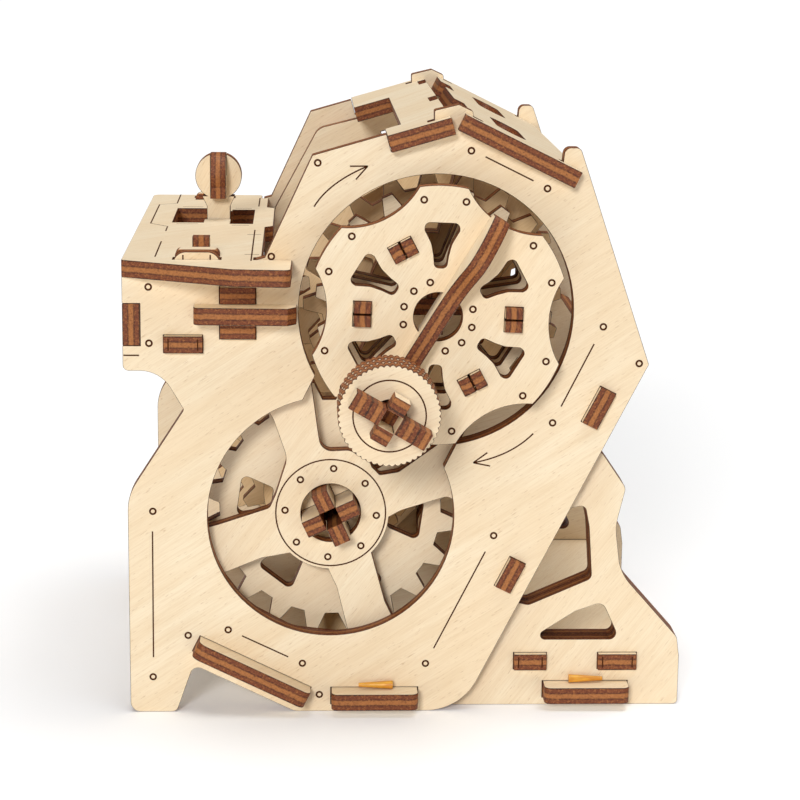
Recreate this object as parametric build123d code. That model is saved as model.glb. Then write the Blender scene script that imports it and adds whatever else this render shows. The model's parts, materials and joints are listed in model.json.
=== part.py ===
"""Wooden mechanical puzzle: a hand-cranked model gearbox made of laser-cut 3 mm plywood plates.

Design frame: X to the right, Y from the front panel's face towards the back, Z up, millimetres.
The crank wheel is on the front. The files are written in the part frame, whose origin is the
centre of the bottom of the whole model's box, so every solid is shifted by -MID_X and -MID_Y.
"""
import os
from math import atan2, cos, degrees, hypot, pi, radians, sin

from build123d import *

# ---------------------------------------------------------------- driving dimensions
PLY = 3.0                      # plywood thickness
FIT = 0.05                     # gap on each side of a tenon in its slot
PROUD = 1.0                    # how far a tenon's end stands out of a panel
DEPTH = 85.0                   # front panel's face to rear panel's outer face
MID_X, MID_Y = 18.45, 35.0     # design frame's position of the part frame's origin

INPUT_X, INPUT_Z = 22.9, 71.85     # crank wheel's axis, shared by the output axle behind it
LAY_X, LAY_Z = 5.1, 35.5           # lower axle's axis
HOLE_A, HOLE_B = 23.5, 21.4        # radii of the panel's upper and lower round openings
CHANNEL = 13.6                     # half the width of the passage that joins the two openings
HUB_RING, HUB_BORE = 9.9, 5.24     # spoke plate's hub and its bearing hole
AXLE_WIDE = 9.9                    # width of each of an axle's two crossed plates
GATE_Z = 77.6                      # underside of the gate plate
LOCK_Z = 70.0                      # underside of the lock bars
TONGUE_Z = GATE_Z + PLY + 1.3      # top of the panels' tongues, which stand out of the gate plate
BOTTOM_Z = 1.4                     # underside of the bottom plate

TOOTH_OUT, TOOTH_IN = 1.45, 1.75   # tooth height above and below the pitch circle
TIP_WIDE, ROOT_WIDE = 1.9, 3.85    # tooth width at its tip and at its root
AXIS_GAP = hypot(INPUT_X - LAY_X, INPUT_Z - LAY_Z)
PAIR_TEETH = 38                    # the teeth of any two meshing gears together
MODULE = 2 * AXIS_GAP / PAIR_TEETH
MESH_ANGLE = degrees(atan2(INPUT_Z - LAY_Z, INPUT_X - LAY_X))   # from the lower to the upper axis

INPUT_TEETH, LAY_TEETH = 18, 20        # front pair, always in mesh
FIRST_LAY_TEETH, FIRST_TEETH = 16, 22  # first speed pair, in mesh at rest
SECOND_LAY_TEETH, SECOND_TEETH = 20, 18
CLUTCH_TEETH = 20

DISC_Y = -5.0                  # wheel disc's front face
WHEEL_R = 22.2                 # wheel disc's radius at its six lobes
LOBE_TURN = 28.0               # angle of the first lobe
CRANK_TURN = 58.6              # direction of the crank bar
KNOB_REACH = 16.4              # crank axis to knob axis
KNOB_Y = -19.0                 # knob's front face
KNOB_R, KNOB_TEETH = 8.55, 52
LEVER_X, LEVER_Y = -15.9, 50.5     # shift lever's centre line, and its plate's front face
PIVOT_Z, HEAD_Z, HEAD_R = 71.2, 88.8, 4.4
FRONT_GEAR_Y, CLUTCH_Y = 6.6, 12.6
BEARING_Y = 18.0
FIRST_Y, SECOND_Y = 44.0, 60.0
FORK_Y = FIRST_Y + PLY + 0.15
SMALL_GEAR_Y = FORK_Y + PLY + 0.15     # the fork runs between the two sliding gears
LAY_AXLE_TURN, OUTPUT_AXLE_TURN, KNOB_AXLE_TURN = 25.0, 20.0, -30.0
OUTPUT_Y = 87.0                # output wheel's inner face

BAR_LOW, BAR_HIGH = 3.2, 8.1    # crank bar's height above the disc: under the knob, and beyond the hub

SKID_SLOPE = 26.1              # fall of the skid plate to the right
SKID_MID = (-8.66, 7.85)       # middle of its section
SKID_LONG = 21.6
BRACE_TURN = 63.3              # the panel's right edge and the two braces
BRACES = {"brace_upper": ((51.2, 55.1), 6.9, 13.0), "brace_lower": ((36.5, 25.1), 5.8, 10.0)}
ROOF_RIGHT = (27.3, 105.6, 25.9, 21.9)     # top edge's start x and z, fall angle, length
ROOF_LEFT = (24.8, 105.1, 16.3, 11.1)      # top edge's end x and z, fall angle, length
ROOF_LEFT_REAR = 15.4                      # its width behind the step
ROOF_STEP_Y = 64.0
OVERHANG = 2.6                             # how far the roof plates reach past the panels


# ---------------------------------------------------------------- building blocks
def upright(face, y0, thick=PLY):
    """A plate that stands across the model: a face drawn in X and Z, thickened from y0 to the back."""
    return Pos(0, y0 + thick, 0) * Rot(90, 0, 0) * extrude(face, amount=thick)


def flat(face, z0, thick=PLY):
    """A level plate: a face drawn in X and Y, thickened upwards from z0."""
    return Pos(0, 0, z0) * extrude(face, amount=thick)


def outline(*corners):
    """A closed outline from corners (x, z) or (x, z, radius)."""
    points = [(c[0], c[1]) for c in corners]
    radii = [c[2] if len(c) > 2 else 0 for c in corners]
    if any(radii):
        return make_face(FilletPolyline(*points, radius=radii, close=True))
    return make_face(Polyline(*points, close=True))


def block(x0, x1, y0, y1, z0, z1):
    """A box between two corners."""
    return Pos(x0, y0, z0) * Box(x1 - x0, y1 - y0, z1 - z0, align=(Align.MIN, Align.MIN, Align.MIN))


def rect(x0, x1, z0, z1, r=0.0):
    """A rectangle between two corners, with round corners if r is given."""
    middle = Pos((x0 + x1) / 2, (z0 + z1) / 2)
    if r:
        return middle * RectangleRounded(x1 - x0, z1 - z0, r)
    return middle * Rectangle(x1 - x0, z1 - z0)


def slot_at(centre, wide, long, turn, r=0.0):
    """A rectangle, long along the direction turn."""
    shape = RectangleRounded(long, wide, r) if r else Rectangle(long, wide)
    return Pos(*centre) * Rot(0, 0, turn) * shape


def disc(centre, r):
    return Pos(*centre) * Circle(r)


def mirrored(part):
    """The same piece at the back of the model."""
    return Pos(0, DEPTH, 0) * mirror(part, about=Plane.XZ)


def around(x, z, piece, turn):
    """A piece drawn about the Y axis, turned and moved onto an axle."""
    return Pos(x, 0, z) * Rot(0, -turn, 0) * piece


def polar(r, turn):
    return (r * cos(radians(turn)), r * sin(radians(turn)))


# ---------------------------------------------------------------- panels
A, B = (INPUT_X, INPUT_Z), (LAY_X, LAY_Z)


def roof_line(part, depth):
    """Height of a roof plate's top (depth 0) or underside (depth PLY), as a function of x."""
    x0, z0, fall, _ = part
    sign = -1 if part is ROOF_RIGHT else 1
    slope = sign * sin(radians(fall)) / cos(radians(fall))
    return lambda x: z0 + (x - x0) * slope - depth / cos(radians(fall))


def double_opening(a=HOLE_A, b=HOLE_B):
    """The two round openings of a panel and the passage between them."""
    passage = Pos((A[0] + B[0]) / 2, (A[1] + B[1]) / 2) * Rot(0, 0, MESH_ANGLE)
    return disc(A, a) + disc(B, b) + passage * Rectangle(AXIS_GAP, 2 * CHANNEL)


def panel_face(roof_left_from):
    """Outline of the front or rear panel; the roof's left plate starts at roof_left_from."""
    right_under = roof_line(ROOF_RIGHT, PLY + FIT)
    left_under = roof_line(ROOF_LEFT, PLY + FIT)
    left_top = roof_line(ROOF_LEFT, 0)
    shoulder = roof_left_from + PLY * sin(radians(ROOF_LEFT[2]))
    face = outline(
        (-30.5, GATE_Z), (-30.5, 61.4, 1.0), (-24.2, 61.4, 6.0), (-20.2, 54.6, 0.6),
        (-30.0, 39.4, 9.0), (-30.0, 0, 1.8), (-21.9, 0, 1.2), (-18.9, 8.65, 1.4),
        (-1.2, 0, 3.0), (28.2, 0, 10.0), (59.7, 62.7, 0.3), (48.0, 96.8, 1.2),
        (46.9, 99.9, 1.0), (44.2, 99.9, 1.2), (43.7, right_under(43.7)),
        (28.9, right_under(28.9)), (28.6, 105.9, 0.4), (26.2, 107.0, 0.3), (22.1, 106.0, 0.4),
        (22.2, left_under(22.2)), (shoulder, left_under(shoulder)),
        (roof_left_from, left_top(roof_left_from)), (1.7, left_top(1.7), 0.3), (-6.3, 81.0, 0.2),
        (-7.8, GATE_Z + PLY), (-7.8, GATE_Z), (-13.8, GATE_Z), (-13.8, TONGUE_Z, 2.2),
        (-21.8, TONGUE_Z, 2.2), (-21.8, GATE_Z),
    )
    face -= double_opening()
    face -= rect(-30.6, -27.45, 65.75, 73.05)
    face -= rect(-23.55, -16.85, 64.55, 67.65)
    face -= rect(-14.0, -7.8, LOCK_Z - PLY - FIT, 77.0)
    face -= rect(5.2, 20.6, BOTTOM_Z - FIT, BOTTOM_Z + PLY + FIT)
    face -= slot_at(SKID_MID, PLY + 2 * FIT, SKID_LONG + 2 * FIT, -SKID_SLOPE)
    for centre, tab, _ in BRACES.values():
        face -= slot_at(centre, PLY + 2 * FIT, tab + 2 * FIT, BRACE_TURN)
    return face


def spoke_windows():
    """The three windows that leave the spoke plate's arms around its lower hub."""
    left = outline(
        (-5.6, 36.4, 1.2), (-14.6, 33.4), (-17.6, 32.6), (-16.9, 42.5), (-12.4, 51.5),
        (-6.9, 55.6), (-4.9, 52.2, 2.5), (-2.5, 45.3, 4.0), (-4.5, 38.9, 1.0),
    )
    bottom = outline(
        (-14.0, 24.4), (-7.0, 27.3), (-1.5, 28.3), (5.1, 27.5), (4.6, 25.4, 1.2), (6.2, 22.0),
        (7.9, 15.2), (8.4, 12.9), (-1.5, 14.0), (-9.5, 18.4),
    )
    right = outline(
        (11.7, 30.4), (14.7, 19.4, 1.0), (16.6, 15.4), (22.8, 20.4), (27.0, 27.5), (28.0, 35.2),
        (25.9, 38.6, 1.4), (17.3, 35.9, 5.0), (13.5, 33.7),
    )
    return (left + bottom + right) - disc(B, HUB_RING + 0.3)


def spoke_face(bearing_above):
    """Inner plate with the lower hub on its arms; at the back it holds the upper axle as well."""
    face = outline(
        (-18.8, 30.0, 3), (-17.9, 45.0, 3), (-7.0, 59.5, 3), (-5.5, 79.0, 2), (3.2, 95.2, 3),
        (14.0, 98.0), (24.5, 101.2, 2), (42.5, 93.0, 2), (49.4, 68.4, 3), (23.9, 15.6, 3),
        (18.0, 9.6, 2), (3.0, 10.4, 3), (-11.0, 17.4, 4),
    )
    toes = outline(
        (1.2, 62.0), (2.8, 50.4, 1.0), (3.4, 46.6, 2.2), (8.4, 46.8, 2.0), (11.9, 44.6),
        (12.9, 42.2, 1.6), (16.9, 42.9, 1.6), (28.0, 51.0), (30.0, 62.0),
    ) - disc(B, 10.9)
    upper = disc(A, HOLE_A + 0.4)
    if bearing_above:
        for turn in (25, 115, 205, 295):
            upper -= Pos(*A) * Rot(0, 0, turn) * Pos(HOLE_A / 2 + 2, 0) * Rectangle(HOLE_A + 4, 6.5)
        upper -= disc(A, HUB_RING)
    else:
        upper += toes
    face -= upper
    face -= spoke_windows()
    for centre in ((A, B) if bearing_above else (B,)):
        face -= disc(centre, HUB_BORE)
    return face


def foot_face():
    """The spreading foot behind the panel's right edge, with its two windows."""
    face = outline(
        (52.5, 46.4, 0.6), (56.9, 40.0, 1.6), (55.3, 33.0, 9.0), (56.4, 24.5, 9.0), (66.9, 12.6, 1.6),
        (67.4, 9.0), (67.4, 0, 0.8), (24.5, 0, 3.0), (24.2, 14.4, 3.0), (40.5, 46.4, 2.0),
    )
    face -= outline(
        (49.8, 36.9, 1.0), (50.6, 33.0, 6.0), (51.3, 23.5, 1.2), (40.2, 18.6, 1.4), (36.2, 19.6, 1.0),
        (44.2, 35.6, 1.5),
    )
    face -= outline((40.6, 12.2, 0.8), (56.6, 12.2, 1.2), (53.4, 19.1, 1.4), (48.6, 17.4, 4.0))
    face -= rect(37.75, 43.65, 6.65, 9.75)
    face -= rect(52.75, 59.75, 6.65, 9.75)
    face -= rect(43.0, 58.3, BOTTOM_Z - FIT, BOTTOM_Z + PLY + FIT)
    centre, tab, _ = BRACES["brace_lower"]
    return face - slot_at(centre, PLY + 2 * FIT, tab + 2 * FIT, BRACE_TURN)


def bearing_face():
    """Middle plate that carries the inner ends of the two upper axles and lets the lower one pass."""
    middle = Pos((A[0] + B[0]) / 2, (A[1] + B[1]) / 2) * Rot(0, 0, MESH_ANGLE)
    face = disc(A, 11.0) + disc(B, 12.0) + middle * Rectangle(AXIS_GAP, 13.0)
    face += rect(2.4, 15.0, BOTTOM_Z + PLY, LAY_Z)
    face += outline((INPUT_X, INPUT_Z + 6), (33.0, INPUT_Z), (44.0, 86.0), (41.0, 95.3), (29.0, 101.1))
    return face - disc(A, HUB_BORE) - disc(B, HUB_BORE)


# ---------------------------------------------------------------- level and sloping plates
def sloped(part, sign, long, y0, y1):
    """A roof plate in place: local x runs along the slope, its top is local z 0."""
    x0, z0, fall, _ = part
    place = Pos(x0, 0, z0) * Rot(0, sign * fall, 0)
    low = 0 if sign > 0 else -long
    return place, block(low, low + long, y0, y1, -PLY, 0)


def roof_right():
    long = ROOF_RIGHT[3]
    place, plate = sloped(ROOF_RIGHT, 1, long, -OVERHANG, DEPTH + OVERHANG)
    for y0, y1 in ((8.5, 29.0), (49.0, 71.5)):
        slot = SlotOverall(y1 - y0, 5.6, rotation=90)
        plate -= Pos(9.8, (y0 + y1) / 2, -PLY) * extrude(slot, amount=PLY)
    for y0 in (0, DEPTH - PLY):
        plate -= block(-1, 3.4, y0 - FIT, y0 + PLY + FIT, -PLY - 1, 1)
        plate -= block(long - 3.9, long + 1, y0 - FIT, y0 + PLY + FIT, -PLY - 1, 1)
    for y0 in (16.0, 56.0):
        plate -= block(-1, 2.0, y0, y0 + 14.0, -PLY - 1, 1)
    return place * plate


def roof_left():
    long = ROOF_LEFT[3]
    place, plate = sloped(ROOF_LEFT, -1, long, -OVERHANG, DEPTH + OVERHANG)
    wide = ROOF_LEFT_REAR
    plate += block(-wide, -long, ROOF_STEP_Y, DEPTH + OVERHANG, -PLY, 0)
    plate -= block(-long - 1, -8.3, 9.0, ROOF_STEP_Y, -PLY - 1, 1)
    for y0 in (0, DEPTH - PLY):
        plate -= block(-3.9, 1, y0 - FIT, y0 + PLY + FIT, -PLY - 1, 1)
    for y0 in (34.0, 73.0):
        plate -= block(-1.6, 1, y0, y0 + 8.0, -PLY - 1, 1)
    return place * plate


def gate_plate():
    """Level plate with the lever's gate: two windows joined by the passage that the lever crosses."""
    rear = DEPTH + 2.0
    face = outline(
        (-30.5, -0.4, 0.6), (-21.0, -5.2), (-11.5, -10.0, 2.0), (-1.9, -10.9, 1.2), (-1.7, -FIT),
        (-8.2, -FIT), (-8.2, PLY + FIT), (-6.9, PLY + FIT), (-6.9, 40.0), (-5.4, 41.5, 0.8),
        (-5.4, 66.5, 0.8), (-6.9, 68.0), (-6.9, DEPTH - PLY - FIT), (-8.2, DEPTH - PLY - FIT),
        (-8.2, rear, 0.8), (-30.5, rear, 1.5),
    )
    face -= rect(-24.5, -18.6, 45.5, 66.0)
    face -= rect(-13.6, -9.3, 44.0, 64.0)
    face -= rect(-18.7, -13.5, 50.2, 62.0)
    for y0 in (0, DEPTH - PLY):
        face -= rect(-21.9, -13.7, y0 - FIT, y0 + PLY + FIT)
    return flat(face, GATE_Z)


def gate_arches():
    """A low arch behind each panel's tongue, standing on the gate plate."""
    z = GATE_Z + PLY
    arch = outline((-21.6, z), (-14.0, z), (-14.0, TONGUE_Z, 1.1), (-21.6, TONGUE_Z, 1.1))
    front = upright(arch, PLY + FIT)
    return [front, mirrored(front)]


def gate_stops():
    """Small blocks that stand on the gate plate behind the arches."""
    z = GATE_Z + PLY
    front = block(-18.8, -15.8, 2 * PLY + FIT, 2 * PLY + 2.6, z, z + 3.0)
    return [front, mirrored(front)]


def bottom_plate():
    z = BOTTOM_Z
    plate = block(3.0, 24.0, PLY, DEPTH - PLY, z, z + PLY)
    plate += block(24.0, 62.0, 3 * PLY, DEPTH - 3 * PLY, z, z + PLY)
    for x0, x1, reach in ((5.3, 20.5, 3.9), (43.1, 58.2, 0.9)):
        plate += flat(rect(x0, x1, -reach, DEPTH + reach, 1.2), z)
    return plate


def skid_plate():
    tongue = flat(rect(-SKID_LONG / 2, SKID_LONG / 2, -4.0, DEPTH + 4.0, 1.4), -PLY / 2)
    return Pos(SKID_MID[0], 0, SKID_MID[1]) * Rot(0, SKID_SLOPE, 0) * tongue


def foot_shelf():
    plate = block(36.0, 61.0, 3 * PLY, DEPTH - 3 * PLY, 6.7, 9.7)
    for x0, x1 in ((37.8, 43.6), (52.8, 59.7)):
        plate += block(x0, x1, PLY - PROUD, DEPTH - PLY + PROUD, 6.7, 9.7)
    return plate


def left_end_plate():
    plate = block(-30.5, -27.5, PLY, DEPTH - PLY, 62.0, GATE_Z)
    return plate + block(-30.5, -27.5, 0, DEPTH, 65.8, 73.0)


def brace(centre, tab, wide, inset):
    """A strip along the panel's right edge, with a narrower tenon at each end."""
    body = upright(slot_at(centre, PLY, wide, BRACE_TURN), inset, DEPTH - 2 * inset)
    return body + upright(slot_at(centre, PLY, tab, BRACE_TURN), -PROUD, DEPTH + 2 * PROUD)


def lock_blocks():
    """Two level plates in the panel's tall slot, one below and one above the lock bar's tenon."""
    thick = PLY - FIT
    return [block(-13.9, -7.9, -0.8, 12.0, z0, z0 + thick) for z0 in (LOCK_Z - PLY, LOCK_Z + PLY + FIT)]


def lock_bar():
    """Level bar in front of the panel, whose tenon lies between the lock blocks."""
    face = outline((-18.3, 0), (-18.3, -3.8, 1.2), (-2.4, -4.4), (-0.9, -2.6, 0.4), (-0.9, 0))
    return flat(face, LOCK_Z) + block(-13.9, -7.9, 0, 6.0, LOCK_Z, LOCK_Z + PLY)


def wedge_pin(x, z, sign):
    """A piece of tapered stick that locks a tongue: it lies on the tongue against the panel."""
    long, thick_end, thin_end = 6.0, 0.75, 0.35
    stick = Cone(thick_end, thin_end, long)
    return Pos(x, 0, z + thick_end + 0.02) * Rot(0, sign * 90, 0) * stick


def wedge_pins():
    front = [
        Pos(0, -0.85, 0) * wedge_pin(13.1, BOTTOM_Z + PLY, -1),
        Pos(0, PLY - 0.85, 0) * wedge_pin(50.6, BOTTOM_Z + PLY, 1),
    ]
    return front + [mirrored(pin) for pin in front]


# ---------------------------------------------------------------- axles and gears
def cross_axle(y0, y1, wide=AXLE_WIDE):
    """Two plates that interlock by half-length slots, drawn about the Y axis."""
    middle, half, core = (y0 + y1) / 2, wide / 2, PLY / 2 + 0.02
    level = block(-half, half, y0, y1, -PLY / 2, PLY / 2)
    level -= block(-core, core, middle, y1 + 1, -core, core)
    erect = block(-PLY / 2, PLY / 2, y0, y1, -half, half)
    erect -= block(-core, core, y0 - 1, middle, -core, core)
    return level, erect


def cross_hole(wide=AXLE_WIDE, gap=0.06):
    arm = Rectangle(wide + 2 * gap, PLY + 2 * gap)
    return arm + Rot(0, 0, 90) * arm


def gear_face(teeth):
    """A gear with straight-sided teeth, one of them centred on +X."""
    pitch_r = MODULE * teeth / 2
    tip_r, root_r = pitch_r + TOOTH_OUT, pitch_r - TOOTH_IN
    points = []
    for k in range(teeth):
        middle = 2 * pi * k / teeth
        for r, wide, side in (
            (root_r, ROOT_WIDE, -1), (tip_r, TIP_WIDE, -1), (tip_r, TIP_WIDE, 1), (root_r, ROOT_WIDE, 1)
        ):
            turn = middle + side * wide / 2 / r
            points.append((r * cos(turn), r * sin(turn)))
    return make_face(Polyline(*points, close=True))


def gear_windows(count, r_in, r_out, wide_in, wide_out, first):
    """Windows between a gear's spokes: count four-sided holes with round corners."""
    window = outline(
        (r_in, -wide_in / 2, 0.9), (r_out, -wide_out / 2, 1.0), (r_out, wide_out / 2, 1.0),
        (r_in, wide_in / 2, 0.9),
    )
    return [Rot(0, 0, first + 360 / count * k) * window for k in range(count)]


def in_mesh(teeth, upper, tooth):
    """Turn that points a tooth, or else a gap, of an upper or a lower gear at the other axis."""
    return MESH_ANGLE + (180 if upper else 0) + (0 if tooth else 180 / teeth)


STRUT_R, STRUT_WIDE = 12.8, 4.2
STRUT_TURNS = [LOBE_TURN + 30 + 60 * k for k in (1, 2, 4, 5)]


def strut_holes(gap):
    return [
        Rot(0, 0, turn) * Pos(STRUT_R, 0) * Rectangle(PLY + 2 * gap, STRUT_WIDE + 2 * gap)
        for turn in STRUT_TURNS
    ]


def wheel_disc():
    """Crank wheel's front disc: six lobes between six hollows, with bell-shaped windows."""
    hollow_r, hollow_deep = 13.7, 18.8
    face = Circle(WHEEL_R)
    bell = outline(
        (8.3, -1.0, 0.8), (10.4, -1.25), (12.4, -1.7, 3.0), (14.6, -2.9), (15.9, -2.9, 0.9),
        (15.9, 2.9, 0.9), (14.6, 2.9), (12.4, 1.7, 3.0), (10.4, 1.25), (8.3, 1.0, 0.8),
    )
    for k in range(6):
        lobe = LOBE_TURN + 60 * k
        face -= Pos(*polar(hollow_deep + hollow_r, lobe + 30)) * Circle(hollow_r)
        face -= Rot(0, 0, lobe) * bell
    for hole in strut_holes(FIT):
        face -= hole
    face -= Circle(4.15)
    return around(*A, upright(face, DISC_Y), 0)


def wheel_struts():
    """Four strips that join the wheel's disc to the two gears behind it; their ends are slit."""
    struts = []
    for turn in STRUT_TURNS:
        strip = block(STRUT_R - PLY / 2, STRUT_R + PLY / 2, DISC_Y - PROUD, CLUTCH_Y + PLY,
                      -STRUT_WIDE / 2, STRUT_WIDE / 2)
        strip -= block(STRUT_R - PLY, STRUT_R + PLY, DISC_Y - 2 * PROUD, DISC_Y + PLY, -0.18, 0.18)
        struts.append(around(*A, strip, turn))
    return struts


def strutted_gear(teeth, y0, turn):
    """A gear of the crank wheel: the struts pass through it, whatever way its teeth are turned."""
    face = Rot(0, 0, turn) * gear_face(teeth)
    face -= cross_hole()
    for hole in strut_holes(FIT):
        face -= hole
    for window in gear_windows(6, 7.6, 15.6, 2.0, 7.6, LOBE_TURN):
        face -= window
    return around(*A, upright(face, y0), 0)


def crank_bar():
    """Plate on edge across the wheel: low under the knob, humped beyond the hub, with a tenon in it."""
    low_end, far_end, hump = -KNOB_REACH - 4.0, 19.7, 11.8
    back = Line((far_end, 0), (low_end, 0))
    rise = Line((low_end, 0), (low_end, BAR_LOW))
    seat = Line((low_end, BAR_LOW), (0.5, BAR_LOW))
    front = Spline((0.5, BAR_LOW), (hump, BAR_HIGH), (far_end, 3.6), tangents=[(1, 0), (0.9, -1)])
    foot = Line((far_end, 3.6), (far_end, 0))
    profile = make_face([back, rise, seat, front, foot]) + rect(-3.8, 3.8, -2.9, 0.5)
    bar = mirror(extrude(profile, amount=PLY), about=Plane.XZ)
    return around(*A, Pos(0, DISC_Y, -PLY / 2) * bar, CRANK_TURN)


KNOB_TURN = CRANK_TURN + 180
KNOB = (A[0] + polar(KNOB_REACH, KNOB_TURN)[0], A[1] + polar(KNOB_REACH, KNOB_TURN)[1])
KNOB_BORE = 2.75


def knob_disc(y0, shift):
    """A disc of the knob with a scalloped rim; the middle one is shifted by half a tooth."""
    deep, steps = 0.32, 4 * KNOB_TEETH
    points = []
    for k in range(steps):
        wave = deep * abs(sin((k / 4 + shift) * pi))
        points.append(polar(KNOB_R - deep + wave, 360 * k / steps))
    face = make_face(Polyline(*points, close=True)) - Circle(KNOB_BORE)
    return around(*KNOB, upright(face, y0), 0)


def knob_axle():
    """Crossed plates that stand on the crank bar; their wide heads keep the knob on."""
    stem, head = 4.4, 4.0
    long_head, short_head, front = 14.3, 8.1, KNOB_Y - 0.3
    level, erect = cross_axle(front, DISC_Y - BAR_LOW, stem)
    core = PLY / 2 + 0.02
    gap = block(-core, core, front - head - 1, front + 0.1, -core, core)
    level += block(-long_head / 2, long_head / 2, front - head, front, -PLY / 2, PLY / 2) - gap
    erect += block(-PLY / 2, PLY / 2, front - head, front, -short_head / 2, short_head / 2) - gap
    level -= block(-core, core, front - head - 1, front + 1.5, -core, core)
    return level, erect


# ---------------------------------------------------------------- shift lever
def shift_fork():
    """Front cheek of the carriage; its arm reaches the collar between the two sliding gears."""
    face = outline((-26.4, 61.4, 1), (-13.2, 61.4), (-8.0, 57.0, 3), (12.0, 57.0, 3), (24.0, 60.0, 2),
                   (29.0, 62.5, 1), (29.0, 64.3), (24.0, 64.3), (16.0, 71.85), (24.0, 79.4), (29.0, 79.4),
                   (29.0, 82.0, 1), (21.0, 84.5, 2), (11.0, 78.0, 3), (6.0, 67.0, 4), (-9.0, 66.8, 3),
                   (-11.5, 74.6, 2), (-26.4, 74.6, 1))
    face -= disc(A, 7.4)
    face -= rect(-23.62, -16.78, 64.48, 67.72)
    face -= disc((LEVER_X, PIVOT_Z), 1.2)
    return upright(face, FORK_Y)


def carriage_cheek():
    face = rect(-26.4, -12.6, 61.4, 74.6, 1.2)
    face -= rect(-23.62, -16.78, 64.48, 67.72)
    face -= disc((LEVER_X, PIVOT_Z), 1.2)
    return upright(face, LEVER_Y + PLY + 0.35)


def lever_face():
    """Lollipop-shaped plate: a stem that turns on the carriage's pin, and a round head."""
    stem = 4.4
    face = rect(-stem / 2, stem / 2, PIVOT_Z, HEAD_Z) + Pos(0, PIVOT_Z) * Circle(stem / 2)
    face += Pos(0, HEAD_Z) * Circle(HEAD_R)
    face += outline((-stem / 2, 83.0), (-stem / 2 - 0.9, 85.0), (stem / 2 + 0.9, 85.0), (stem / 2, 83.0))
    face -= Pos(0, PIVOT_Z) * Circle(1.2)
    face -= rect(-PLY / 2 - 0.02, PLY / 2 + 0.02, HEAD_Z + 0.2, HEAD_Z + HEAD_R + 1)
    return Pos(LEVER_X, 0, 0) * upright(face, LEVER_Y)


def lever_cross():
    """Second plate of the lever's head, square to the first and slotted over it."""
    mid_y = LEVER_Y + PLY / 2
    head = Pos(0, HEAD_Z) * Circle(HEAD_R) + rect(-4.3, 4.3, 84.8, 86.9)
    head -= rect(-PLY / 2 - 0.02, PLY / 2 + 0.02, 84.0, HEAD_Z + 0.2)
    plate = upright(head, 0)
    return Pos(LEVER_X + PLY / 2, mid_y, 0) * Rot(0, 0, 90) * plate


# ---------------------------------------------------------------- all nodes
def frame_nodes():
    nodes = {}
    nodes["front_panel"] = upright(panel_face(14.1), 0)
    nodes["rear_panel"] = upright(panel_face(9.9), DEPTH - PLY)
    nodes["front_spoke_plate"] = upright(spoke_face(False), PLY)
    nodes["rear_spoke_plate"] = upright(spoke_face(True), DEPTH - 2 * PLY)
    foot = foot_face()
    nodes["front_foot_outer"] = upright(foot, PLY)
    nodes["front_foot_inner"] = upright(foot, 2 * PLY)
    nodes["rear_foot_outer"] = upright(foot, DEPTH - 2 * PLY)
    nodes["rear_foot_inner"] = upright(foot, DEPTH - 3 * PLY)
    nodes["bottom_plate"] = bottom_plate()
    nodes["skid_plate"] = skid_plate()
    nodes["foot_shelf"] = foot_shelf()
    nodes["left_end_plate"] = left_end_plate()
    nodes["shift_rail"] = block(-23.5, -16.9, -PROUD, DEPTH + PROUD, 64.6, 67.6)
    for name, (centre, tab, wide) in BRACES.items():
        nodes[name] = brace(centre, tab, wide, PLY if name == "brace_upper" else 3 * PLY)
    nodes["gate_plate"] = gate_plate()
    nodes["gate_arches"] = gate_arches()
    nodes["gate_stops"] = gate_stops()
    nodes["roof_left"] = roof_left()
    nodes["roof_right"] = roof_right()
    nodes["front_lock_bar"] = lock_bar()
    nodes["rear_lock_bar"] = mirrored(lock_bar())
    nodes["front_lock_blocks"] = lock_blocks()
    nodes["rear_lock_blocks"] = [mirrored(plate) for plate in lock_blocks()]
    nodes["wedge_pins"] = wedge_pins()
    bearing = bearing_face()
    nodes["bearing_plate_front"] = upright(bearing, BEARING_Y)
    nodes["bearing_plate_rear"] = upright(bearing, BEARING_Y + PLY)
    return nodes


def wheel_nodes():
    """The crank wheel with its bar, gears and axle, and the knob on it."""
    nodes = {}
    nodes["wheel_disc"] = wheel_disc()
    nodes["wheel_struts"] = wheel_struts()
    nodes["input_gear"] = strutted_gear(INPUT_TEETH, FRONT_GEAR_Y, in_mesh(INPUT_TEETH, True, False))
    nodes["clutch_ring"] = strutted_gear(CLUTCH_TEETH, CLUTCH_Y, 2.6)
    nodes["crank_bar"] = crank_bar()
    level, erect = cross_axle(FRONT_GEAR_Y - 2.0, BEARING_Y + PLY - 0.1)
    nodes["input_axle_level"] = around(*A, level, 0)
    nodes["input_axle_erect"] = around(*A, erect, 0)
    level, erect = knob_axle()
    nodes["knob_axle_wide"] = around(*KNOB, level, KNOB_AXLE_TURN)
    nodes["knob_axle_narrow"] = around(*KNOB, erect, KNOB_AXLE_TURN)
    for k, name in enumerate(("knob_disc_front", "knob_disc_middle", "knob_disc_rear")):
        nodes[name] = knob_disc(KNOB_Y + PLY * k, 0.5 * (k % 2))
    return nodes


def axle_gear(axis, teeth, y0, turn, bore, windows):
    """A gear on a crossed axle, with windows between its spokes."""
    face = Rot(0, 0, turn) * gear_face(teeth) - bore
    for window in windows:
        face -= window
    return around(*axis, upright(face, y0), 0)


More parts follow.
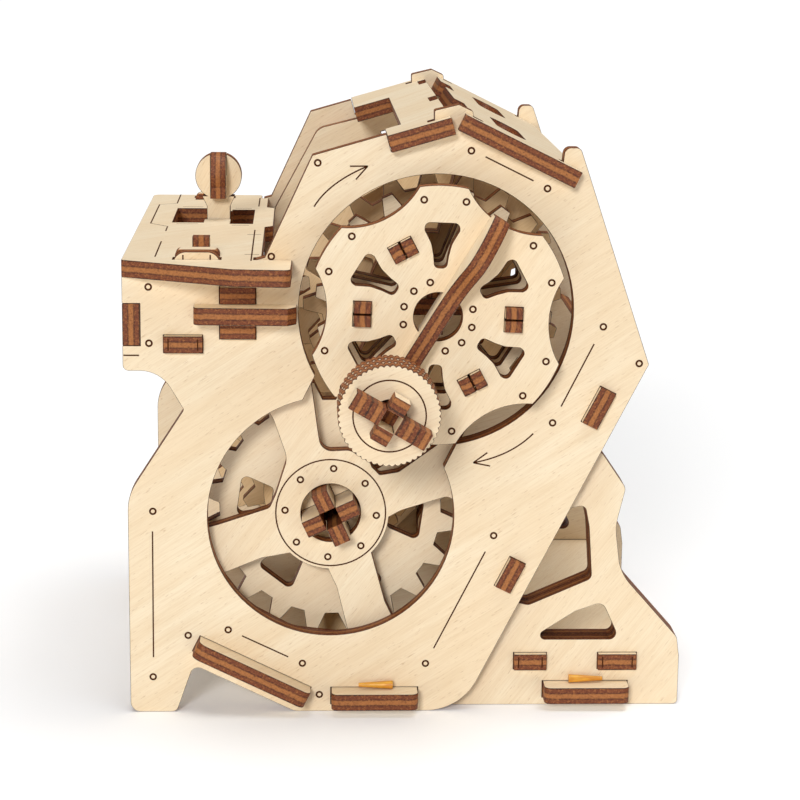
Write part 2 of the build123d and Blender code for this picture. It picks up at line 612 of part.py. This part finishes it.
def lay_nodes():
    """The lower axle and all that is fixed on it."""
    nodes = {}
    level, erect = cross_axle(-PROUD, DEPTH - PROUD)
    level -= block(-PLY / 2, PLY / 2, -2 * PROUD, 12.0, -PLY, PLY)
    nodes["lay_axle_level"] = around(*B, level, LAY_AXLE_TURN)
    nodes["lay_axle_erect"] = around(*B, erect, LAY_AXLE_TURN)
    bore = Rot(0, 0, LAY_AXLE_TURN) * cross_hole()
    for name, teeth, y0, tooth, windows in (
        ("lay_gear_front", LAY_TEETH, FRONT_GEAR_Y, True, gear_windows(6, 10.4, 16.2, 4.2, 7.6, 112.0)),
        ("lay_gear_first", FIRST_LAY_TEETH, FIRST_Y, False, gear_windows(5, 8.0, 12.6, 3.6, 5.6, 20.0)),
        ("lay_gear_second", SECOND_LAY_TEETH, SECOND_Y, False, gear_windows(6, 9.5, 16.0, 4.2, 7.0, 20.0)),
    ):
        nodes[name] = axle_gear(B, teeth, y0, in_mesh(teeth, False, tooth), bore, windows)
    spacer = Circle(8.0) - bore
    nodes["lay_spacers"] = [
        around(*B, upright(spacer, y0), 0)
        for y0 in (FRONT_GEAR_Y + PLY, FIRST_Y - PLY, FIRST_Y + PLY, SECOND_Y - PLY, SECOND_Y + PLY)
    ]
    return nodes


def output_nodes():
    """The output axle with its wheel, and the gears that slide on it."""
    nodes = {}
    level, erect = cross_axle(BEARING_Y + PLY + 0.1, 2 * MID_Y - (KNOB_Y - 4.3))
    nodes["output_axle_level"] = around(*A, level, OUTPUT_AXLE_TURN)
    nodes["output_axle_erect"] = around(*A, erect, OUTPUT_AXLE_TURN)
    bore = Rot(0, 0, OUTPUT_AXLE_TURN) * cross_hole()
    for name, teeth, y0, windows in (
        ("sliding_gear_large", FIRST_TEETH, FIRST_Y, gear_windows(6, 9.5, 17.8, 4.4, 8.0, 0.0)),
        ("sliding_gear_small", SECOND_TEETH, SMALL_GEAR_Y, gear_windows(6, 9.5, 14.6, 4.2, 6.4, 0.0)),
    ):
        nodes[name] = axle_gear(A, teeth, y0, in_mesh(teeth, True, True), bore, windows)
    nodes["sliding_collar"] = around(*A, upright(Circle(7.0) - bore, FIRST_Y + PLY, PLY + 0.3), 0)
    face = Circle(15.0) - bore
    for window in gear_windows(6, 8.4, 12.6, 4.0, 6.4, 0.0):
        face -= window
    nodes["output_wheel"] = around(*A, upright(face, OUTPUT_Y), 0)
    washer = upright(Circle(7.5) - bore, OUTPUT_Y - PLY + 1.4, PLY - 1.4)
    nodes["output_washer"] = around(*A, washer, 0)
    return nodes


def shift_nodes():
    """The carriage that moves the sliding gears, and the lever on it."""
    nodes = {}
    carriage_back = LEVER_Y + 2 * PLY + 0.35
    nodes["shift_fork"] = shift_fork()
    nodes["carriage_cheek"] = carriage_cheek()
    nodes["carriage_tie"] = block(-26.4, -13.4, FORK_Y, carriage_back, 61.4 - PLY, 61.4)
    pin_long = carriage_back - FORK_Y + 2 * PROUD
    pin = Rot(90, 0, 0) * Cylinder(1.15, pin_long)
    nodes["lever_pin"] = Pos(LEVER_X, FORK_Y - PROUD + pin_long / 2, PIVOT_Z) * pin
    nodes["lever_face"] = lever_face()
    nodes["lever_cross"] = lever_cross()
    return nodes


def build_nodes():
    return frame_nodes() | wheel_nodes() | lay_nodes() | output_nodes() | shift_nodes()


def main():
    os.makedirs("parts", exist_ok=True)
    shift = Pos(-MID_X, -MID_Y, 0)
    for name, piece in build_nodes().items():
        solids = []
        for item in piece if isinstance(piece, list) else [piece]:
            solids += (shift * item).solids()
        export_step(solids[0] if len(solids) == 1 else Compound(children=solids), f"parts/{name}.step")
    print("knob axis x, z:", round(KNOB[0] - MID_X, 4), round(KNOB[1], 4))


main()
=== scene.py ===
"""Looks of the plywood gearbox puzzle: birch faces, scorched cut edges, burnt-in marks, light and camera.

Every CAD node keeps its shape, apart from narrow rounded edges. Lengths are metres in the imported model's
frame. Drawings of marks are in millimetres, because they follow the sizes of the sheets.
"""
import json
import math

import bmesh
import bpy
from mathutils import Matrix, Vector


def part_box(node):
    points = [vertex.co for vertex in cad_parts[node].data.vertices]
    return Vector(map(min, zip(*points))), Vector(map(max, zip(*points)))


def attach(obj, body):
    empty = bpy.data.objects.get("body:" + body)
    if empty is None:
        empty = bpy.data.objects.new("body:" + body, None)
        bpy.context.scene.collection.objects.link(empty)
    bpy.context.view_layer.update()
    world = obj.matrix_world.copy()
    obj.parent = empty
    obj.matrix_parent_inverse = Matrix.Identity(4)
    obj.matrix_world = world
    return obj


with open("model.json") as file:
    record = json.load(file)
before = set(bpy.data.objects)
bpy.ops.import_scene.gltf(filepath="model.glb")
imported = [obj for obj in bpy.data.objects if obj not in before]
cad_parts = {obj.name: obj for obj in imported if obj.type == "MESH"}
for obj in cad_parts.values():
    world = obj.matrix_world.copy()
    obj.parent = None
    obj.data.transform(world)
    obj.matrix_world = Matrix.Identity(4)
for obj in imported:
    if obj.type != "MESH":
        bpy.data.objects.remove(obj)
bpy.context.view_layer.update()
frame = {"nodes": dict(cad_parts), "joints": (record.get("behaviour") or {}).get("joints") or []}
nodes = frame["nodes"]
axes = {joint["name"]: Vector(joint["pos_m"]) for joint in frame["joints"] if "pos_m" in joint}

MM = 0.001
PLY = 3.0 * MM                  # thickness of every sheet
EDGE_BEVEL = 0.13 * MM          # width of the burnt line along each cut
MARK_DEEP = 0.05 * MM           # how far a burnt-in mark reaches into its sheet
MARK_PROUD = 0.012 * MM         # how far it stands out of it
RING_R = 0.50 * MM              # middle radius of the small round marks
RING_WIDE = 0.33 * MM           # width of their line
LINE_WIDE = 0.25 * MM           # width of the straight and curved lines

X, Y, Z = Vector((1, 0, 0)), Vector((0, 1, 0)), Vector((0, 0, 1))
STICKS = ("wedge_pins", "lever_pin")
# Pieces too square for their sheet's direction to be read off the mesh
ACROSS = {"front_lock_blocks": Z, "rear_lock_blocks": Z, "gate_stops": X}
# Faces that point to this side count as they are, and their opposites are turned round
COUNTED_SIDE = Vector((0.3, 0.8, 0.5))


# Shader building -----------------------------------------------------------------------------------

def srgb(red, green, blue):
    """A linear colour from the usual 0 to 255 values."""
    values = [c / 255 for c in (red, green, blue)]
    return [c / 12.92 if c <= 0.04045 else ((c + 0.055) / 1.055) ** 2.4 for c in values] + [1.0]


class Graph:
    """A material's node tree, with one short call for each kind of node."""

    def __init__(self, name):
        self.material = bpy.data.materials.new(name)
        self.material.use_nodes = True
        self.tree = self.material.node_tree
        self.shader = self.tree.nodes["Principled BSDF"]
        self.place = self.tree.nodes.new("ShaderNodeTexCoord")

    def link(self, source, socket):
        if hasattr(source, "is_output"):
            self.tree.links.new(source, socket)
        else:
            socket.default_value = source

    def math(self, operation, *inputs, clamp=False):
        node = self.tree.nodes.new("ShaderNodeMath")
        node.operation = operation
        node.use_clamp = clamp
        for value, socket in zip(inputs, node.inputs):
            self.link(value, socket)
        return node.outputs[0]

    def dot(self, vector, direction):
        node = self.tree.nodes.new("ShaderNodeVectorMath")
        node.operation = "DOT_PRODUCT"
        self.link(vector, node.inputs[0])
        self.link(tuple(direction), node.inputs[1])
        return node.outputs["Value"]

    def point(self, *parts):
        node = self.tree.nodes.new("ShaderNodeCombineXYZ")
        for value, socket in zip(parts, node.inputs):
            self.link(value, socket)
        return node.outputs[0]

    def noise(self, vector, scale=1.0, detail=3.0, rough=0.5, twist=0.0):
        node = self.tree.nodes.new("ShaderNodeTexNoise")
        self.link(vector, node.inputs["Vector"])
        settings = {"Scale": scale, "Detail": detail, "Roughness": rough, "Distortion": twist}
        for name, value in settings.items():
            node.inputs[name].default_value = value
        return node.outputs["Fac"]

    def stretched_noise(self, parts, stretches, **settings):
        """Noise at a point whose parts are each multiplied by a number."""
        scaled = [self.math("MULTIPLY", part, stretch) for part, stretch in zip(parts, stretches)]
        return self.noise(self.point(*scaled), **settings)

    def spread(self, value, low, high, new_low=0.0, new_high=1.0):
        node = self.tree.nodes.new("ShaderNodeMapRange")
        self.link(value, node.inputs["Value"])
        bounds = {"From Min": low, "From Max": high, "To Min": new_low, "To Max": new_high}
        for name, bound in bounds.items():
            node.inputs[name].default_value = bound
        return node.outputs["Result"]

    def mix(self, share, first, second, blend="MIX"):
        node = self.tree.nodes.new("ShaderNodeMix")
        node.data_type = "RGBA"
        node.blend_type = blend
        self.link(share, node.inputs["Factor"])
        self.link(first, node.inputs["A"])
        self.link(second, node.inputs["B"])
        return node.outputs["Result"]

    def ramp(self, value, stops):
        node = self.tree.nodes.new("ShaderNodeValToRGB")
        self.link(value, node.inputs["Fac"])
        elements = node.color_ramp.elements
        while len(elements) < len(stops):
            elements.new(0.5)
        for element, (position, colour) in zip(elements, stops):
            element.position = position
            element.color = colour
        return node.outputs["Color"]

    def bump(self, height, distance):
        node = self.tree.nodes.new("ShaderNodeBump")
        node.inputs["Strength"].default_value = 1.0
        node.inputs["Distance"].default_value = distance
        self.link(height, node.inputs["Height"])
        return node.outputs["Normal"]


# Plywood -------------------------------------------------------------------------------------------

# Colours in sRGB, from 0 to 255
OUTSIDE = {
    "pale": (242, 225, 195), "warm": (238, 216, 182), "band": (231, 206, 169), "fibre": (221, 193, 153),
}
# The same birch made darker and warmer: painted shade for the sheets that sit deep inside the gearbox
INSIDE_PAINTED_SHADE = {
    "pale": (235, 206, 163), "warm": (229, 197, 150), "band": (220, 185, 137), "fibre": (209, 172, 124),
}
FLECK = (192, 155, 112)
OUTER_PLY, GLUE, CORE = (116, 58, 29), (80, 37, 18), (163, 102, 53)
SCORCH, ASH, TOASTED = (46, 21, 11), (66, 31, 16), (190, 124, 64)
# Sheets deep inside the gearbox, which get the darker birch as painted shade
DEEP_IN_PAINTED_SHADE = (
    "bearing_plate_front", "bearing_plate_rear", "clutch_ring", "sliding_gear_large", "sliding_gear_small",
    "sliding_collar", "lay_gear_first", "lay_gear_second", "shift_fork", "carriage_cheek",
)


def main_direction(mesh):
    """The direction that most of a sheet's surface faces."""
    sums = {}
    for face in mesh.polygons:
        normal = face.normal.copy()
        if normal.dot(COUNTED_SIDE) < 0:
            normal.negate()
        key = tuple(round(c, 2) + 0.0 for c in normal)
        sums[key] = sums.get(key, Vector()) + normal * face.area
    return max(sums.values(), key=lambda total: total.length).normalized()


def sheet_frame(node):
    """A sheet's directions across it, along its grain and beside the grain, and its lower face's place."""
    mesh = nodes[node].data
    across = ACROSS.get(node) or main_direction(mesh)
    lowest = min(across.dot(v.co) for v in mesh.vertices)
    side = across.cross(Y if abs(across.dot(Y)) < 0.5 else X).normalized()
    # The grain runs about halfway between the axes, at an angle that differs from sheet to sheet
    turn = math.radians(52 + 23 * math.sin(2.7 * len(node) + len(mesh.vertices)))
    along = Matrix.Rotation(turn, 3, across) @ side
    return across, along, across.cross(along), lowest


def wood_face(graph, along, beside, across, seed, tone):
    """Birch in one tone: broad warm clouds, fine fibres along the grain and short darker flecks."""
    place = graph.place.outputs["Object"]
    u, v, w = (graph.dot(place, direction / MM) for direction in (along, beside, across))
    depth = graph.math("ADD", w, seed)
    parts = (u, v, depth)
    cloud = graph.stretched_noise(parts, (0.03, 0.09, 1), twist=0.6)
    bands = graph.stretched_noise(parts, (0.035, 0.55, 1), detail=4)
    fibre = graph.stretched_noise(parts, (0.22, 5.0, 1), detail=2)
    fleck = graph.stretched_noise(parts, (0.75, 4.5, 1), detail=1)
    colour = graph.mix(graph.spread(cloud, 0.35, 0.65), srgb(*tone["pale"]), srgb(*tone["warm"]))
    colour = graph.mix(graph.spread(bands, 0.42, 0.72, 0.0, 0.55), colour, srgb(*tone["band"]))
    colour = graph.mix(graph.spread(fibre, 0.40, 0.75, 0.0, 0.45), colour, srgb(*tone["fibre"]))
    colour = graph.mix(graph.spread(fleck, 0.66, 0.78, 0.0, 0.5), colour, srgb(*FLECK))
    height = graph.math("MULTIPLY_ADD", fibre, 0.6, graph.math("MULTIPLY", bands, 0.4))
    return colour, height


def cut_edge(graph, layer, along, beside, seed):
    """Laser-burnt edge: dark outer plies and glue lines, a lighter core, and fine specks."""
    place = graph.place.outputs["Object"]
    u, v = (graph.dot(place, direction / MM) for direction in (along, beside))
    wobble = graph.stretched_noise((u, v, seed), (0.5, 0.5, 1), detail=2)
    level = graph.math("FRACT", graph.math("ADD", layer, graph.spread(wobble, 0.3, 0.7, -0.015, 0.015)))
    colour = graph.ramp(level, [
        (0.02, srgb(*SCORCH)), (0.10, srgb(*OUTER_PLY)), (0.24, srgb(*OUTER_PLY)), (0.32, srgb(*GLUE)),
        (0.40, srgb(*CORE)), (0.59, srgb(*CORE)), (0.67, srgb(*GLUE)), (0.76, srgb(*OUTER_PLY)),
        (0.90, srgb(*OUTER_PLY)), (0.98, srgb(*SCORCH)),
    ])
    speck = graph.stretched_noise((u, v, layer), (2.4, 2.4, 10), detail=5, rough=0.75)
    colour = graph.mix(graph.spread(speck, 0.50, 0.68, 0.0, 0.6), colour, srgb(*TOASTED))
    colour = graph.mix(graph.spread(speck, 0.34, 0.48, 0.6, 0.0), colour, srgb(*ASH))
    return colour, speck


def plywood(node):
    """One sheet's material: face or cut edge, by the direction of its own surface."""
    across, along, beside, lowest = sheet_frame(node)
    graph = Graph(node + "_ply")
    seed = 7.3 * (sorted(nodes).index(node) + 1)
    place, normal = graph.place.outputs["Object"], graph.place.outputs["Normal"]
    if node == "wheel_struts":
        facing, layer = radial_layers(graph, place, normal)
    else:
        facing = graph.math("ABSOLUTE", graph.dot(normal, across))
        layer = graph.math("DIVIDE", graph.math("SUBTRACT", graph.dot(place, across), lowest), PLY)
    is_face = graph.spread(facing, 0.86, 0.96)
    # Sheets deep inside get the darker, warmer birch: painted shade, not a different wood
    tone = INSIDE_PAINTED_SHADE if node in DEEP_IN_PAINTED_SHADE else OUTSIDE
    face_colour, face_height = wood_face(graph, along, beside, across, seed, tone)
    edge_colour, edge_height = cut_edge(graph, layer, along, beside, seed)
    graph.link(graph.mix(is_face, edge_colour, face_colour), graph.shader.inputs["Base Color"])
    graph.link(graph.spread(face_height, 0.3, 0.7, 0.52, 0.66), graph.shader.inputs["Roughness"])
    face_part = graph.math("MULTIPLY", face_height, 0.35)
    height = graph.math("ADD", face_part, graph.math("MULTIPLY", edge_height, 0.65))
    graph.link(graph.bump(height, 0.04 * MM), graph.shader.inputs["Normal"])
    graph.shader.inputs["Specular IOR Level"].default_value = 0.35
    return graph.material


def radial_layers(graph, place, normal):
    """The struts' sheets face the wheel's axis, so their plies are counted outwards from it."""
    centre = axes["wheel_spin"]
    flat_x = graph.math("SUBTRACT", graph.dot(place, X), centre.x)
    flat_z = graph.math("SUBTRACT", graph.dot(place, Z), centre.z)
    squared = graph.math("ADD", graph.math("POWER", flat_x, 2), graph.math("POWER", flat_z, 2))
    reach = graph.math("SQRT", squared)
    outward_x = graph.math("MULTIPLY", flat_x, graph.dot(normal, X))
    outward = graph.math("ADD", outward_x, graph.math("MULTIPLY", flat_z, graph.dot(normal, Z)))
    facing = graph.math("ABSOLUTE", graph.math("DIVIDE", outward, reach))
    mesh = nodes["wheel_struts"].data
    nearest = min(math.hypot(v.co.x - centre.x, v.co.z - centre.z) for v in mesh.vertices)
    return facing, graph.math("DIVIDE", graph.math("SUBTRACT", reach, nearest), PLY)


def amber_stick():
    """The small waxed wooden wedges and the lever's pin."""
    graph = Graph("amber_stick")
    place = graph.place.outputs["Object"]
    parts = [graph.dot(place, direction / MM) for direction in (X, Y, Z)]
    grain = graph.stretched_noise(parts, (0.4, 3, 1))
    colour = graph.mix(graph.spread(grain, 0.35, 0.65), srgb(232, 172, 58), srgb(206, 134, 34))
    graph.link(colour, graph.shader.inputs["Base Color"])
    graph.link(graph.spread(grain, 0.3, 0.7, 0.3, 0.45), graph.shader.inputs["Roughness"])
    graph.link(graph.bump(grain, 0.02 * MM), graph.shader.inputs["Normal"])
    graph.shader.inputs["Subsurface Weight"].default_value = 0.15
    graph.shader.inputs["Subsurface Scale"].default_value = 1.0 * MM
    return graph.material


def burnt():
    """The nearly black brown of the burnt-in lines."""
    graph = Graph("burnt_mark")
    speck = graph.noise(graph.place.outputs["Object"], scale=4000, detail=3)
    colour = graph.mix(speck, srgb(48, 22, 10), srgb(92, 50, 24))
    graph.link(colour, graph.shader.inputs["Base Color"])
    graph.link(graph.spread(speck, 0.3, 0.7, 0.7, 0.9), graph.shader.inputs["Roughness"])
    graph.shader.inputs["Specular IOR Level"].default_value = 0.1
    return graph.material


def soften_edges(node):
    """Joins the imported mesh's faces and rounds each cut edge narrowly, where the burnt colour shows."""
    item = nodes[node]
    weld = item.modifiers.new("weld", "WELD")
    weld.merge_threshold = 0.001 * MM
    flat = item.modifiers.new("flat", "DECIMATE")
    flat.decimate_type = "DISSOLVE"
    flat.angle_limit = math.radians(0.3)
    bevel = item.modifiers.new("edge", "BEVEL")
    bevel.width = EDGE_BEVEL
    bevel.segments = 2
    bevel.limit_method = "ANGLE"
    bevel.angle_limit = math.radians(30)
    bevel.use_clamp_overlap = False
    bevel.harden_normals = True


def dress_nodes():
    """A material of its own for each sheet, and narrow burnt edges."""
    amber = amber_stick()
    for node, item in nodes.items():
        item.data.materials.clear()
        if node in STICKS:
            item.data.materials.append(amber)
            continue
        item.data.materials.append(plywood(node))
        soften_edges(node)


# Burnt-in marks ------------------------------------------------------------------------------------

def circle(centre, radius, count):
    """Points round a circle."""
    turns = [2 * math.pi * k / count for k in range(count)]
    return [(centre[0] + radius * math.cos(t), centre[1] + radius * math.sin(t)) for t in turns]


def arc_through(start, middle, end, count=14):
    """Points on a smooth curve from start through middle to end."""
    control = [2 * m - (s + e) / 2 for s, m, e in zip(start, middle, end)]
    points = []
    for k in range(count + 1):
        t = k / count
        first, second, third = (1 - t) ** 2, 2 * t * (1 - t), t ** 2
        ends = zip(start, control, end)
        points.append(tuple(first * s + second * c + third * e for s, c, e in ends))
    return points


def offset_line(points, half, closed):
    """The two sides of a stroke that follows these points."""
    last = len(points) - 1
    left, right = [], []
    for k, point in enumerate(points):
        before = points[k - 1] if k > 0 or closed else point
        after = points[(k + 1) % len(points)] if k < last or closed else point
        way = Vector(after) - Vector(before)
        way.normalize()
        left.append((point[0] - way.y * half, point[1] + way.x * half))
        right.append((point[0] + way.y * half, point[1] - way.x * half))
    return left, right


class Marks:
    """Burnt-in marks on one face of a sheet, in one mesh. corner, right and up place the drawing."""

    def __init__(self, name, body, corner, right, up):
        self.name, self.body = name, body
        self.corner, self.right, self.up = Vector(corner), right, up
        self.out = right.cross(up)
        self.mesh = bmesh.new()

    def vertex(self, point, height):
        on_sheet = self.corner + self.right * point[0] + self.up * point[1]
        return self.mesh.verts.new(on_sheet + self.out * height)

    def solid(self, left, right, closed):
        """A closed flat strip between two rows of points."""
        heights = (MARK_PROUD, -MARK_DEEP)
        rows = [[self.vertex(p, height) for p in side] for height in heights for side in (right, left)]
        count = len(left)
        spans = range(count) if closed else range(count - 1)
        for k in spans:
            n = (k + 1) % count
            top_right, top_left, low_right, low_left = ([row[k], row[n]] for row in rows)
            self.mesh.faces.new([top_right[0], top_right[1], top_left[1], top_left[0]])
            self.mesh.faces.new([low_left[0], low_left[1], low_right[1], low_right[0]])
            self.mesh.faces.new([low_right[0], low_right[1], top_right[1], top_right[0]])
            self.mesh.faces.new([top_left[0], top_left[1], low_left[1], low_left[0]])
        if not closed:
            for k in (0, count - 1):
                self.mesh.faces.new([row[k] for row in (rows[0], rows[1], rows[3], rows[2])])

    def line(self, points, wide=LINE_WIDE, closed=False):
        left, right = offset_line([(p[0] * MM, p[1] * MM) for p in points], wide / 2, closed)
        self.solid(left, right, closed)

    def ring(self, centre, radius=RING_R / MM, wide=RING_WIDE):
        count = 20 if radius < 2 else 64
        self.line(circle(centre, radius, count), wide, closed=True)

    def arrow(self, start, middle, tip, barb=3.0):
        """A curved line to the tip, and two short barbs."""
        path = arc_through(start, middle, tip)
        self.line(path)
        back = math.atan2(path[-3][1] - tip[1], path[-3][0] - tip[0])
        for side in (-0.42, 0.42):
            end = (tip[0] + barb * math.cos(back + side), tip[1] + barb * math.sin(back + side))
            self.line([tip, end])

    def finish(self):
        mesh = bpy.data.meshes.new(self.name)
        bmesh.ops.recalc_face_normals(self.mesh, faces=self.mesh.faces)
        self.mesh.to_mesh(mesh)
        self.mesh.free()
        piece = bpy.data.objects.new(self.name, mesh)
        bpy.context.scene.collection.objects.link(piece)
        mesh.materials.append(BURNT)
        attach(piece, self.body)


def facing_front(node, body):
    """Marks on a sheet's front face, drawn in the frame's own X and Z."""
    return Marks(node + "_marks", body, (0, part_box(node)[0].y, 0), X, Z)


def facing_up(node, body):
    """Marks on a level sheet's upper face, drawn in the frame's own X and Y."""
    return Marks(node + "_marks", body, (0, 0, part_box(node)[1].z), X, Y)


def about(axis):
    """The point, in millimetres, where a joint's axis crosses a drawing of X and Z."""
    return axes[axis].x / MM, axes[axis].z / MM


def ring_of_marks(marks, centre, radius, turns):
    for turn in turns:
        angle = math.radians(turn)
        marks.ring((centre[0] + radius * math.cos(angle), centre[1] + radius * math.sin(angle)))


PANEL_RINGS = (
    (-15.85, 97.1), (-23.65, 81.2), (-44.45, 75.9), (-44.45, 66.2), (-44.15, 36.6), (-44.45, 6.5),
    (-38.25, 14.1), (-31.25, 15.1), (-18.25, 8.9), (-15.25, 3.1), (3.45, 8.8), (15.05, 32.2),
    (24.85, 52.4), (33.15, 69.3), (39.55, 62.9), (22.95, 93.0), (9.95, 99.3),
)
PANEL_LINES = (
    ((-44.25, 33.0), (-44.35, 10.1)), ((-48.8, 64.1), (-46.15, 64.1)), ((-28.85, 14.0), (-20.75, 10.1)),
    ((13.65, 29.3), (4.85, 11.6)), ((31.65, 66.3), (26.25, 55.3)), ((12.35, 98.3), (20.55, 94.3)),
)
TONGUE_SIDES = (-38.55, -33.95)


def panel_marks():
    marks = facing_front("front_panel", "frame")
    for centre in PANEL_RINGS:
        marks.ring(centre)
    for ends in PANEL_LINES:
        marks.line(ends)
    marks.arrow((-16.45, 89.7), (-12.95, 93.5), (-7.45, 96.6))
    marks.arrow((21.55, 50.5), (17.05, 47.2), (11.25, 45.3))
    for x in TONGUE_SIDES:
        marks.line([(x, 78.6), (x, 81.4)])
    marks.finish()


GATE_LINES = (
    ((-43.45, 52.0), (-43.45, 38.0), (-46.85, 36.0), (-46.85, 9.0), (-43.45, 5.0), (-43.45, -1.0)),
    ((-43.45, -14.0), (-43.45, -32.0)), ((-27.05, 47.0), (-27.05, 34.0)), ((-27.15, 1.0), (-27.05, -36.0)),
    ((-28.4, -5.0), (-25.9, -5.0)), ((-28.3, -29.0), (-25.8, -29.0)),
    ((-42.0, 33.0), (-38.0, 33.0)), ((-42.0, 8.6), (-38.0, 8.6)), ((-31.6, 31.0), (-28.4, 31.0)),
    ((-31.6, 7.0), (-28.4, 7.0)),
)


def gate_marks():
    marks = facing_up("gate_plate", "frame")
    for points in GATE_LINES:
        marks.line(points)
    marks.finish()


FOOT_TABS = ((19.35, 25.15), (34.35, 41.25))   # left and right ends of the foot shelf's two tabs


def tab_marks():
    """A short line near each end of each tab that shows in the front panel."""
    for node in ("shift_rail", "foot_shelf"):
        low, high = (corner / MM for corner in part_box(node))
        marks = facing_front(node, "frame")
        tabs = FOOT_TABS if node == "foot_shelf" else ((low.x, high.x),)
        for left, right in tabs:
            for x in (left + 0.8, right - 0.8):
                marks.line([(x, low.z + 0.5), (x, high.z - 0.5)])
        marks.finish()


LOBE_TURN = 27.3        # angle of the wheel's first lobe
LOBE_MARK_R, LOBE_MARK_SIDE = 19.95, 10.2   # the two marks of each lobe, from the axis and from its middle
HUB_MARK_R = 6.0
HUB_MARK_TURNS = (103.5, 133.5, 163.5, 193, 12.5, -17.5, -47.5, -77.5)
KNOB_LINE_R = 6.0
SPOKE_LINE_R, SPOKE_MARK_R, SPOKE_MARK_TURN = 9.6, 8.0, -3.4


def wheel_marks():
    """Marks on the crank wheel, on the knob and on the spoke plate's hub. Angles are in degrees."""
    disc = facing_front("wheel_disc", "crank_wheel")
    centre = about("wheel_spin")
    lobes = [LOBE_TURN + 60 * k for k in range(6)]
    beside_lobes = [lobe + side for lobe in lobes for side in (-LOBE_MARK_SIDE, LOBE_MARK_SIDE)]
    ring_of_marks(disc, centre, LOBE_MARK_R, beside_lobes)
    ring_of_marks(disc, centre, HUB_MARK_R, HUB_MARK_TURNS)
    disc.finish()
    knob = facing_front("knob_disc_front", "knob")
    knob.ring(about("knob_spin"), KNOB_LINE_R, LINE_WIDE)
    knob.finish()
    hub = facing_front("front_spoke_plate", "frame")
    centre = about("lay_spin")
    hub.ring(centre, SPOKE_LINE_R, LINE_WIDE)
    ring_of_marks(hub, centre, SPOKE_MARK_R, [45 * k + SPOKE_MARK_TURN for k in range(8)])
    hub.finish()


# Floor, light and camera ---------------------------------------------------------------------------

FLOOR_HALF = 6.0                # in metres
CAMERA_AT = (-18.45 * MM, -413.0 * MM, 139.5 * MM)
CAMERA_DOWN, CAMERA_YAW, CAMERA_ROLL = 0.2162, 0.0446, 0.0115   # in radians
FOCAL_LENGTH = 101.42           # in millimetres


def floor():
    mesh = bpy.data.meshes.new("floor")
    half = FLOOR_HALF
    corners = [(-half, -half, 0), (half, -half, 0), (half, half, 0), (-half, half, 0)]
    mesh.from_pydata(corners, [], [(0, 1, 2, 3)])
    item = bpy.data.objects.new("floor", mesh)
    bpy.context.scene.collection.objects.link(item)
    graph = Graph("floor_white")
    graph.shader.inputs["Base Color"].default_value = (0.9, 0.9, 0.9, 1)
    graph.shader.inputs["Emission Color"].default_value = (1, 1, 1, 1)
    graph.shader.inputs["Emission Strength"].default_value = 0.13
    graph.shader.inputs["Roughness"].default_value = 0.9
    mesh.materials.append(graph.material)


def soft_light(name, towards, width, strength):
    """An even light from one direction, whose width in degrees softens its shadows."""
    data = bpy.data.lights.new(name, "SUN")
    data.angle = math.radians(width)
    data.energy = strength
    lamp = bpy.data.objects.new(name, data)
    bpy.context.scene.collection.objects.link(lamp)
    lamp.rotation_mode = "QUATERNION"
    lamp.rotation_quaternion = Vector(towards).to_track_quat("Z", "Y")


def lights():
    world = bpy.data.worlds.new("studio")
    world.use_nodes = True
    bpy.context.scene.world = world
    sky = world.node_tree.nodes["Background"].inputs
    sky["Color"].default_value = (1, 1, 1, 1)
    sky["Strength"].default_value = 0.12
    soft_light("key", (-0.3, -1.0, 0.45), 16, 1.75)
    soft_light("top", (0.14, -0.02, 1.0), 44, 2.3)
    bpy.context.scene.view_settings.view_transform = "Standard"


def camera():
    """A long lens in front and a little above, turned slightly to the right."""
    data = bpy.data.cameras.new("camera")
    data.lens = FOCAL_LENGTH
    data.clip_start = 0.01
    item = bpy.data.objects.new("camera", data)
    bpy.context.scene.collection.objects.link(item)
    down, yaw, roll = CAMERA_DOWN, CAMERA_YAW, CAMERA_ROLL
    ahead = Vector((math.sin(yaw) * math.cos(down), math.cos(yaw) * math.cos(down), -math.sin(down)))
    right = Vector((math.cos(yaw), -math.sin(yaw), 0))
    up = right.cross(ahead)
    level_right = right * math.cos(roll) + up * math.sin(roll)
    level_up = up * math.cos(roll) - right * math.sin(roll)
    turned = Matrix((level_right, level_up, -ahead)).transposed().to_4x4()
    item.matrix_world = Matrix.Translation(CAMERA_AT) @ turned
    bpy.context.scene.camera = item


BURNT = burnt()
dress_nodes()
panel_marks()
gate_marks()
tab_marks()
wheel_marks()
floor()
lights()
camera()
